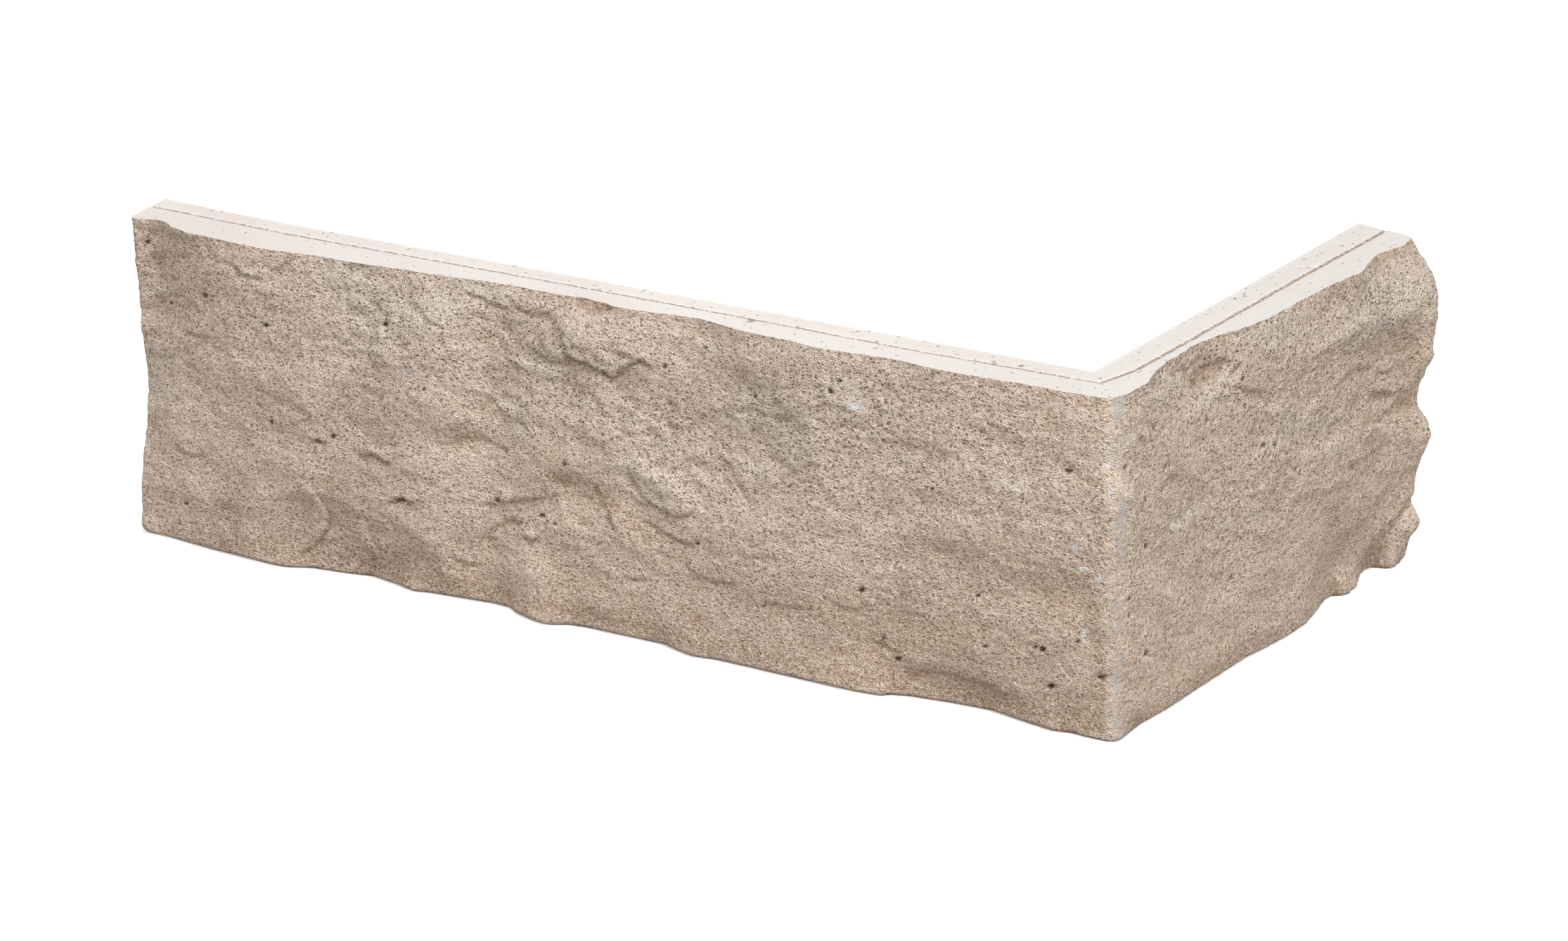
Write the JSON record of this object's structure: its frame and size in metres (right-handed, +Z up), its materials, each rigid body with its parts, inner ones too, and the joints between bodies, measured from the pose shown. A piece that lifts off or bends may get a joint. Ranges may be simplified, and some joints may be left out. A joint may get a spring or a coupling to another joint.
{
  "type": "stone cladding corner piece",
  "caption": "L-shaped cast stone cladding corner with a split rock face on both outer sides and flat wall sides, wrapping an outer wall corner.",
  "frame": {"origin": "the wall's corner line at the lower bed: where the two wall sides meet, at the foot of the piece", "axes": "+X out of the short leg's rock face, with the long leg running along -X; +Y towards the wall behind the long leg, with the short leg running along +Y; +Z up, out of the upper bed"},
  "size_m": [0.3154, 0.1713, 0.09],
  "materials": {
    "stone": "matt, split rock face with smooth cast beds"
  },
  "bodies": {
    "root": {"corner_stone": "stone"}
  },
  "joints": []
}
